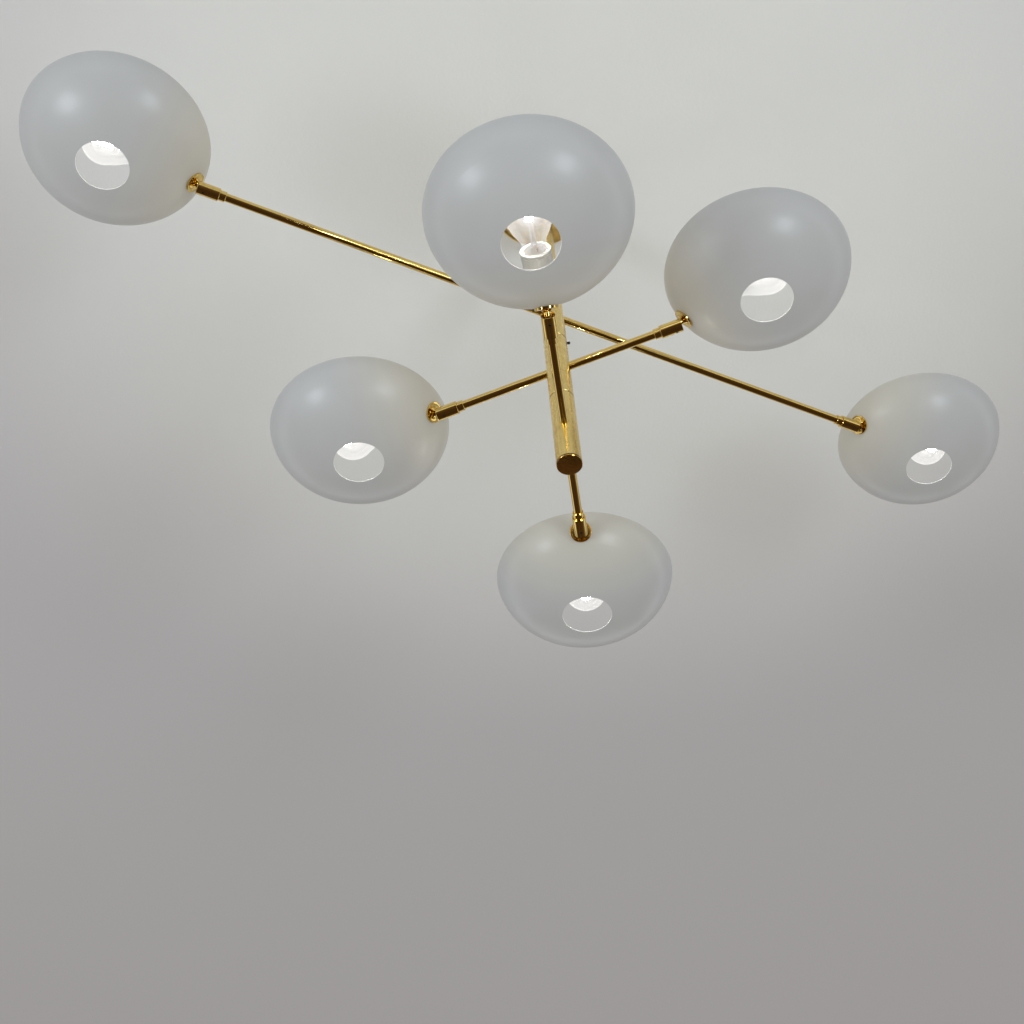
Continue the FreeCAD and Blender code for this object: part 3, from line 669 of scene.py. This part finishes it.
# Both glasses carry painted glow; the inner stem's has no bloom.
LIT_GLASS = LitGlass("bulb_glass")
INNER_GLASS = LitGlass("bulb_glass", glowing_haze=0.12, painted_bloom=0.0)
FILAMENT = Glowing("bulb_glass")


# ------------------------------------------------------------------ meshes
def lathe(name: str, outline: Sequence[Point], axes: Axes, sides: int = 72,
          swell: Callable[[float, float], float] | None = None) -> bpy.types.Object:
    """Turn an outline about an axis into a smooth mesh.

    Args:
        name: the piece's name.
        outline: (along the axis, radius) points; ends off the axis are joined into a ring.
        axes: where the piece stands.
        sides: how many steps go round.
        swell: extra radius at (turn in radians, place along the axis).

    Returns:
        The new object.
    """
    mesh = bmesh.new()
    rings = []
    for along, radius in outline:
        if radius < 1e-7:
            rings.append([mesh.verts.new((0.0, 0.0, along))])
            continue
        ring = []
        for step in range(sides):
            turn = 2 * math.pi * step / sides
            r = radius + (swell(turn, along) if swell else 0.0)
            ring.append(mesh.verts.new((r * math.cos(turn), r * math.sin(turn), along)))
        rings.append(ring)
    pairs = list(zip(rings, rings[1:]))
    if len(rings[0]) > 1 and len(rings[-1]) > 1:
        pairs.append((rings[-1], rings[0]))
    for low, high in pairs:
        for step in range(sides):
            other = (step + 1) % sides
            corners = [low[step % len(low)], low[other % len(low)],
                       high[other % len(high)], high[step % len(high)]]
            unique = list(dict.fromkeys(corners))
            if len(unique) > 2:
                mesh.faces.new(unique)
    bmesh.ops.recalc_face_normals(mesh, faces=mesh.faces)
    return mesh_object(name, mesh, axes)


def mesh_object(name: str, mesh: bmesh.types.BMesh, axes: Axes) -> bpy.types.Object:
    """Make an object of a mesh that was built about its own axes.

    Args:
        name: the object's name.
        mesh: the mesh, which is freed.
        axes: where it stands.

    Returns:
        The new object, smooth apart from its real edges.
    """
    data = bpy.data.meshes.new(name)
    mesh.to_mesh(data)
    mesh.free()
    data.transform(axes.matrix())
    data.polygons.foreach_set("use_smooth", [True] * len(data.polygons))
    data.set_sharp_from_angle(angle=math.radians(35))
    piece = bpy.data.objects.new(name, data)
    bpy.context.scene.collection.objects.link(piece)
    return piece


def arc(centre: Point, radius: float, start: float, end: float, steps: int) -> list[Point]:
    """Points of an arc in an outline, from one angle to another, in degrees from the axis."""
    points = []
    for step in range(steps + 1):
        angle = math.radians(start + (end - start) * step / steps)
        points.append((centre[0] + radius * math.cos(angle), centre[1] + radius * math.sin(angle)))
    return points


def wire(name: str, points: Sequence[Vector], radius: float) -> bpy.types.Object:
    """A round wire on a smooth line through points.

    Args:
        name: the piece's name.
        points: the line's control points, in the lamp's frame.
        radius: of the wire.

    Returns:
        The new curve object.
    """
    curve = bpy.data.curves.new(name, "CURVE")
    curve.dimensions = "3D"
    curve.bevel_depth = radius
    curve.bevel_resolution = 3
    curve.use_fill_caps = True
    line = curve.splines.new("NURBS")
    line.points.add(len(points) - 1)
    for place, point in zip(line.points, points):
        place.co = (*point, 1.0)
    line.order_u = 3
    line.use_endpoint_u = True
    piece = bpy.data.objects.new(name, curve)
    bpy.context.scene.collection.objects.link(piece)
    return piece


# ------------------------------------------------------------------ reading the frame
class Frame:
    """The carried-over pieces: their points, their joints and how they are dressed."""

    def __init__(self) -> None:
        """Load the frame and keep its box."""
        self.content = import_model()
        self.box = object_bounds()
        self.joints = {joint["name"]: joint for joint in self.content["joints"]}

    def points(self, node: str) -> list[Vector]:
        """All corners of a node's mesh."""
        return [vertex.co.copy() for vertex in self.content["nodes"][node].data.vertices]

    def middle(self, node: str) -> Vector:
        """Mean of a node's corners, which lies on the axis of a turned piece."""
        points = self.points(node)
        return sum(points, Vector()) / len(points)

    def pivot(self, joint: str) -> Axes:
        """Axes of a joint."""
        found = self.joints[joint]
        return Axes.on(Vector(found["pos_m"]), Vector(found["axis"]))

    def axis_between(self, node: str, start: Vector, guess: Vector) -> Vector:
        """Axis of a turned piece that is longer than it is wide.

        Args:
            node: the piece.
            start: a point near its back end.
            guess: rough direction of its front end.

        Returns:
            The direction of its longest spread, towards the front.
        """
        points = self.points(node)
        middle = sum(points, Vector()) / len(points)
        spread = Matrix(((0,) * 3,) * 3)
        for point in points:
            away = point - middle
            for row in range(3):
                for column in range(3):
                    spread[row][column] += away[row] * away[column]
        axis = guess.normalized()
        for _ in range(60):
            axis = (spread @ axis).normalized()
        return axis if axis.dot(middle - start) > 0 else -axis

    def dress(self, node: str, material: bpy.types.Material) -> None:
        """Give a carried-over piece its finish."""
        slots = self.content["nodes"][node].data.materials
        slots.clear()
        slots.append(material)
        LOG.info("dressed %s in %s", node, material.name)


# ------------------------------------------------------------------ the lamp's sub-assemblies
@dataclass
class CeilingMount:
    """Strap, nipple and nut behind the canopy, and the upper tube below it."""

    nipple_pitch: float = 1.0 * MM

    def dress(self, frame: Frame) -> None:
        """Finish the five fixed pieces."""
        frame.dress("canopy", CANOPY_BRASS.material("canopy_brass", STEM_LINE))
        frame.dress("drop_tube", TUBE_BRASS.material("drop_tube_brass", STEM_LINE))
        strap = Axes.on(Vector((0, 0, 0)), Vector((1, 0, 0)))
        frame.dress("ceiling_strap", ZINC.material("strap_zinc", strap))
        frame.dress("hanging_nipple", ZINC.material("nipple_zinc", STEM_LINE, self.nipple_pitch))
        frame.dress("strap_nut", ZINC.material("strap_nut_zinc", STEM_LINE))


@dataclass
class StemSegment:
    """One turning segment of the stem, with its lock screw and the arm that goes through it."""

    number: int
    carried: int

    def dress(self, frame: Frame) -> None:
        """Finish the segment, its screw, its arm and the arm's collars."""
        n = self.number
        arm = frame.pivot("bowl_%d_roll" % self.carried)
        heights = [point.z for point in frame.points("segment_%d" % n)]
        tube = TUBE_BRASS.material("segment_%d_brass" % n, STEM_LINE, ends=(min(heights), max(heights)))
        frame.dress("segment_%d" % n, tube)
        screw_at = frame.middle("lock_screw_%d" % n)
        out = Axes.on(screw_at, Vector((screw_at.x, screw_at.y, 0)))
        frame.dress("lock_screw_%d" % n, BLACKED.material("lock_screw_%d_black" % n, out))
        frame.dress("arm_%d" % n, ARM_BRASS.material("arm_%d_brass" % n, arm))
        frame.dress("arm_collars_%d" % n, TURNED_BRASS.material("collars_%d_brass" % n, arm))


@dataclass
class Swivel:
    """Sleeve at an arm's end, its grub screw and the ball stud that it holds."""

    number: int
    thread_start: float = 22.0 * MM
    thread_end: float = 40.0 * MM
    pitch: float = 1.0 * MM

    def dress(self, frame: Frame) -> None:
        """Finish the three pieces."""
        k = self.number
        arm = frame.pivot("bowl_%d_roll" % k)
        frame.dress("sleeve_%d" % k, TURNED_BRASS.material("sleeve_%d_brass" % k, arm))
        grub_at = frame.middle("grub_screw_%d" % k)
        grub = Axes.on(grub_at, grub_at - arm.origin)
        frame.dress("grub_screw_%d" % k, BLACKED.material("grub_screw_%d_black" % k, grub))
        stud = Axes.on(arm.origin, frame.middle("ring_nut_%d" % k) - arm.origin)
        thread = (self.pitch, self.thread_start, self.thread_end)
        frame.dress("ball_stud_%d" % k, TURNED_BRASS.material("stud_%d_brass" % k, stud, thread))


@dataclass
class BowlHead:
    """A reflector bowl with what it holds: ring nut, lampholder and bulb."""

    number: int
    bulb_radius: float = 30.0 * MM

    def place(self, frame: Frame) -> None:
        """Work out the bowl's own axes from its bulb and its stud."""
        k = self.number
        ball = frame.pivot("bowl_%d_roll" % k).origin
        holder = frame.middle("lampholder_%d" % k)
        bulb = frame.middle("bulb_%d" % k)
        self.level = frame.axis_between("bulb_%d" % k, holder, bulb - holder)
        stud = (frame.middle("ring_nut_%d" % k) - ball).normalized()
        self.upright = (stud - self.level * stud.dot(self.level)).normalized()
        self.stud = Axes.on(ball, stud)
        reach = max((point - bulb).dot(self.level) for point in frame.points("bulb_%d" % k))
        self.globe = bulb + self.level * (reach - self.bulb_radius)

    def spin_axes(self, frame: Frame) -> Axes:
        """The line that the bowl was spun about."""
        across = self.upright.cross(self.level)
        points = frame.points("bowl_%d" % self.number)
        middle = Vector()
        for line in (self.level, across, self.upright):
            reach = [point.dot(line) for point in points]
            middle += line * (min(reach) + max(reach)) / 2.0
        return Axes(middle, self.upright, self.level)

    def dress(self, frame: Frame) -> None:
        """Finish the bowl, the ring nut and the lampholder."""
        k = self.number
        frame.dress("bowl_%d" % k, BOWL_LACQUER.material("bowl_%d_lacquer" % k, self.spin_axes(frame)))
        frame.dress("ring_nut_%d" % k, ZINC.material("ring_nut_%d_zinc" % k, self.stud))
        back = min((point - self.globe).dot(self.level) for point in frame.points("lampholder_%d" % k))
        holder = Axes.on(self.globe + self.level * back, self.level)
        frame.dress("lampholder_%d" % k, WHITE_HOLDER.material("holder_%d_white" % k, holder))


@dataclass
class Bulb:
    """A clear globe bulb: blown glass, inner stem, leads, filaments and a screw cap."""

    head: BowlHead
    radius: float = 30.0 * MM
    glass: float = 0.5 * MM
    shoulder_turn: float = 122.0
    mouth: float = 50.0 * MM
    neck_radius: float = 13.6 * MM
    neck_end: float = 52.4 * MM
    flare_length: float = 9.0 * MM
    flare_rise: float = 1.2 * MM
    flare_straight: float = 0.35
    cap_radius: float = 13.0 * MM
    cap_length: float = 25.0 * MM
    cap_wall: float = 0.5 * MM
    shell_share: float = 0.92
    thread_pitch: float = 3.6 * MM
    thread_depth: float = 0.55 * MM
    thread_share: float = 0.90
    thread_fade: float = 0.12
    contact_radius: float = 5.0 * MM
    contact_length: float = 3.0 * MM
    filament_count: int = 8
    filament_radius: float = 0.9 * MM
    filament_length: float = 26.0 * MM
    filament_ring: float = 5.0 * MM
    ring_low: float = 0.75
    ring_high: float = 1.15
    filament_rise: float = 2.0 * MM
    wire_radius: float = 0.3 * MM

    def build(self) -> None:
        """Make, dress and mount every piece of the bulb."""
        k = self.head.number
        self.axes = Axes(self.head.globe, self.head.level, self.head.upright)
        body = "bowl_%d_head" % k
        pieces = [
            (self.glass_envelope("bulb_glass_%d" % k), LIT_GLASS),
            (self.inner_stem("bulb_stem_%d" % k), INNER_GLASS),
            (self.filaments("bulb_filaments_%d" % k), FILAMENT),
            (self.screw_cap("bulb_cap_%d" % k), NICKEL),
            *((lead, COPPER) for lead in self.leads("bulb_lead_%d" % k)),
        ]
        for piece, finish in pieces:
            piece.data.materials.append(finish.material(piece.name + "_finish", self.axes))
            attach(piece, body)
            LOG.info("made %s", piece.name)
        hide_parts("bulb_%d" % k)

    def _envelope(self, inset: float) -> list[Point]:
        """Outline of the glass from its top to the end of its neck, `inset` inside it."""
        globe = arc((0.0, 0.0), self.radius - inset, 0.0, self.shoulder_turn, 44)
        shoulder = globe[-1]
        neck = (-self.mouth + self.flare_length, self.neck_radius + self.flare_rise - inset)
        foot = (-self.neck_end, self.neck_radius - inset)
        flare = []
        steps = 12
        for step in range(1, steps + 1):
            share = step / steps
            ease = share * share * (3 - 2 * share)
            inward = self.flare_straight * share + (1.0 - self.flare_straight) * ease
            flare.append((shoulder[0] + (neck[0] - shoulder[0]) * share,
                          shoulder[1] + (neck[1] - shoulder[1]) * inward))
        return [*globe, *flare, foot]

    def glass_envelope(self, name: str) -> bpy.types.Object:
        """Blown globe and neck with a real wall."""
        outer = self._envelope(0.0)
        inner = self._envelope(self.glass)
        return lathe(name, [*outer, *reversed(inner)], self.axes, 96)

    def inner_stem(self, name: str) -> bpy.types.Object:
        """Glass stem that carries the filaments: a flared foot, a tube and a pressed tip."""
        foot = -self.neck_end + 3 * MM
        outline = [(foot, self.neck_radius - 2.2 * MM), (foot + 1.2 * MM, self.neck_radius - 2.6 * MM),
                   (foot + 5 * MM, 5.5 * MM), (foot + 11 * MM, 3.6 * MM), (foot + 22 * MM, 3.0 * MM),
                   (-12 * MM, 2.6 * MM), (-9 * MM, 1.7 * MM), (-6.5 * MM, 0.9 * MM), (-6 * MM, 0.0)]
        wall = 0.7 * MM
        inner = [(max(along - wall, foot), max(radius - wall, 0.0)) for along, radius in outline]
        return lathe(name, [*outline, *reversed(inner[:-2])], self.axes, 40)

    def _filament_ends(self, step: int) -> tuple[Vector, Vector]:
        """Lower and upper end of one filament, in the bulb's own axes."""
        turn = 2 * math.pi * (step + 0.5) / self.filament_count
        out = Vector((math.cos(turn), math.sin(turn), 0.0))
        half = self.filament_length / 2.0
        return (out * self.filament_ring * self.ring_low + Vector((0, 0, -half + self.filament_rise)),
                out * self.filament_ring * self.ring_high + Vector((0, 0, half + self.filament_rise)))

    def filaments(self, name: str) -> bpy.types.Object:
        """All the glowing sticks as one mesh of capped rods."""
        mesh = bmesh.new()
        for step in range(self.filament_count):
            low, high = self._filament_ends(step)
            turn = (high - low).to_track_quat("Z", "Y").to_matrix().to_4x4()
            place = Matrix.Translation((low + high) / 2.0) @ turn
            bmesh.ops.create_cone(mesh, cap_ends=True, segments=14, radius1=self.filament_radius,
                                  radius2=self.filament_radius, depth=(high - low).length, matrix=place)
        return mesh_object(name, mesh, self.axes)

    def leads(self, name: str) -> list[bpy.types.Object]:
        """Two copper leads from the cap to the filaments' lower ring."""
        to_lamp = self.axes.matrix()
        foot = -self.neck_end + 2 * MM
        wires = []
        for number, step in enumerate((0, self.filament_count // 2)):
            low, _ = self._filament_ends(step)
            out = Vector((low.x, low.y, 0.0)).normalized()
            route = [out * 7.5 * MM + Vector((0, 0, foot)), out * 8.5 * MM + Vector((0, 0, foot + 9 * MM)),
                     out * 5.2 * MM + Vector((0, 0, foot + 18 * MM)), low]
            points = [to_lamp @ point for point in route]
            wires.append(wire("%s_%s" % (name, "ab"[number]), points, self.wire_radius))
        return wires

    def screw_cap(self, name: str) -> bpy.types.Object:
        """Rolled screw cap with a real thread, an insulator and a centre contact."""
        top = -self.neck_end - 0.1 * MM
        end = top - self.cap_length
        steps = 60
        shell = []
        for step in range(steps + 1):
            down = self.cap_length * self.shell_share * step / steps
            shell.append((top - down, self.cap_radius - self.thread_depth))
        tip = end - self.contact_length
        lower = [(end, self.cap_radius - 3.2 * MM), (end - 0.6 * MM, self.contact_radius + 1 * MM),
                 (tip + 0.5 * MM, self.contact_radius), (tip, self.contact_radius - 0.6 * MM), (tip, 0.0)]
        inside = [(top - 2 * MM, 0.0), (top, self.cap_radius - self.thread_depth - self.cap_wall)]

        def thread(turn: float, along: float) -> float:
            """Rise of the rolled thread, which fades out at both ends of the shell."""
            down = (top - along) / self.cap_length
            left = self.thread_share - down
            fade = min(1.0, max(0.0, down / self.thread_fade), max(0.0, left / self.thread_fade))
            phase = along / self.thread_pitch * 2 * math.pi - turn
            return self.thread_depth * fade * (0.5 + 0.5 * math.cos(phase))

        return lathe(name, [*inside, *shell, *lower], self.axes, 64, thread)


# ------------------------------------------------------------------ studio
# Stops run from straight down (0) over the horizon (0.5): the room's light, and what brass mirrors.
ROOM = [(0.0, (0.53, 0.505, 0.465)), (0.25, (0.60, 0.585, 0.565)), (0.42, (0.86, 0.88, 0.905)),
        (0.5, (1.0, 1.04, 1.09))]
MIRRORED = [(0.0, (0.05, 0.026, 0.014)), (0.30, (0.085, 0.055, 0.035)), (0.40, (0.34, 0.30, 0.25)),
            (0.46, (1.0, 1.02, 1.04)), (0.5, (1.5, 1.53, 1.57))]
FURNITURE = (0.035, 0.024, 0.015)
FURNITURE_SHARE = 0.8


@dataclass
class Studio:
    """The ceiling that the lamp hangs on, soft light and the camera below it."""

    image_side: float = 1024.0
    focal_pixels: float = 1338.6
    axis_row: float = 384.44
    sensor: float = 36.0
    camera_at: tuple[float, float, float] = (-0.063622, -1.060578, -1.937871)
    camera_rise: float = 53.482
    camera_roll: float = -3.937
    ceiling_half: float = 6.0
    window_size: tuple[float, float] = (0.8, 1.05)
    window_power: float = 28.0
    left_window: tuple[float, float, float] = (-2.48, -1.74, -1.99)
    right_window: tuple[float, float, float] = (1.72, -2.31, -2.33)

    def build(self) -> None:
        """Set up everything that isn't the lamp."""
        self.ceiling()
        self.world()
        self.lights()
        self.camera()
        bpy.context.scene.view_settings.view_transform = "Standard"

    def ceiling(self) -> None:
        """Pale ceiling just above the canopy."""
        half, height = self.ceiling_half, 0.4 * MM
        corners = [(-half, -half, height), (-half, half, height), (half, half, height),
                   (half, -half, height)]
        data = bpy.data.meshes.new("ceiling")
        data.from_pydata(corners, [], [(0, 1, 2, 3)])
        plane = bpy.data.objects.new("ceiling", data)
        bpy.context.scene.collection.objects.link(plane)
        plane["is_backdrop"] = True
        paint = Plaster(Vector((0.10, -0.02, 0.0)))
        plane.data.materials.append(paint.material("ceiling_paint"))

    def world(self) -> None:
        """Even light from the room, which polished metal mirrors with its dark floor and furniture."""
        world = bpy.data.worlds.new("room")
        bpy.context.scene.world = world
        world.use_nodes = True
        nodes = Nodes(world.node_tree)
        toward = nodes.add("ShaderNodeTexCoord").outputs["Generated"]
        height = Value(nodes, nodes.add("ShaderNodeSeparateXYZ", None, {0: toward}).outputs["Z"])
        level = height * 0.5 + 0.5
        room = nodes.add("ShaderNodeValToRGB", {"stops": ROOM}, {0: level}).outputs[0]
        mirrored = nodes.add("ShaderNodeValToRGB", {"stops": MIRRORED}, {0: level}).outputs[0]
        things = nodes.noise(toward, 2.4, 2.0).above(0.52, 0.14) * height.below(-0.02, 0.3)
        mirrored = nodes.blend(things * FURNITURE_SHARE, mirrored, FURNITURE)
        glossy = Value(nodes, nodes.add("ShaderNodeLightPath").outputs["Is Glossy Ray"])
        colour = nodes.blend(glossy, room, mirrored)
        nodes.finish(nodes.add("ShaderNodeBackground", None, {"Color": colour, "Strength": 1.0}))

    def _area(self, name: str, at: Vector, size: tuple[float, float], power: float, colour: Colour,
              aim: Vector) -> None:
        """One soft rectangular light.

        Args:
            name: what it is called.
            at: its place.
            size: width and height.
            power: in watts.
            colour: of its light.
            aim: the point it faces.
        """
        lamp = bpy.data.lights.new(name, "AREA")
        lamp.shape = "RECTANGLE"
        lamp.size, lamp.size_y = size
        lamp.energy = power
        lamp.color = colour
        light = bpy.data.objects.new(name, lamp)
        light.location = at
        light.rotation_euler = (aim - at).to_track_quat("-Z", "Y").to_euler()
        bpy.context.scene.collection.objects.link(light)

    def lights(self) -> None:
        """Two cool windows behind the camera, to its left and right."""
        lamp_middle = Vector((0.0, 0.0, -0.45))
        cool = (0.82, 0.91, 1.0)
        for name, place in (("window_left", self.left_window), ("window_right", self.right_window)):
            self._area(name, Vector(place), self.window_size, self.window_power, cool, lamp_middle)

    def camera(self) -> None:
        """Camera that frames the lamp as the photograph does."""
        rise, roll = math.radians(self.camera_rise), math.radians(self.camera_roll)
        ahead = Vector((0.0, math.cos(rise), math.sin(rise)))
        up = Vector((0.0, -math.sin(rise), math.cos(rise)))
        right = Vector((1.0, 0.0, 0.0))
        side = right * math.cos(roll) + up * math.sin(roll)
        top = up * math.cos(roll) - right * math.sin(roll)
        turn = Matrix((side, top, -ahead)).transposed().to_4x4()
        data = bpy.data.cameras.new("camera")
        data.sensor_width = self.sensor
        data.lens = self.focal_pixels * self.sensor / self.image_side
        data.shift_y = (self.axis_row - self.image_side / 2.0) / self.image_side
        camera = bpy.data.objects.new("camera", data)
        camera.matrix_world = Matrix.Translation(self.camera_at) @ turn
        bpy.context.scene.collection.objects.link(camera)
        bpy.context.scene.camera = camera


def main() -> None:
    """Dress the lamp from the ceiling down and set up the studio."""
    logging.basicConfig(level=logging.INFO, format="%(name)s: %(message)s")
    frame = Frame()
    CeilingMount().dress(frame)
    for number, carried in ((1, 6), (2, 3), (3, 5)):
        StemSegment(number, carried).dress(frame)
    frame.dress("end_cap", END_BRASS_WITH_PAINTED_REFLECTION.material("end_cap_brass", STEM_LINE))
    for number in range(1, 7):
        Swivel(number).dress(frame)
        head = BowlHead(number)
        head.place(frame)
        head.dress(frame)
        Bulb(head).build()
    Studio().build()


if __name__ == "__main__":
    main()
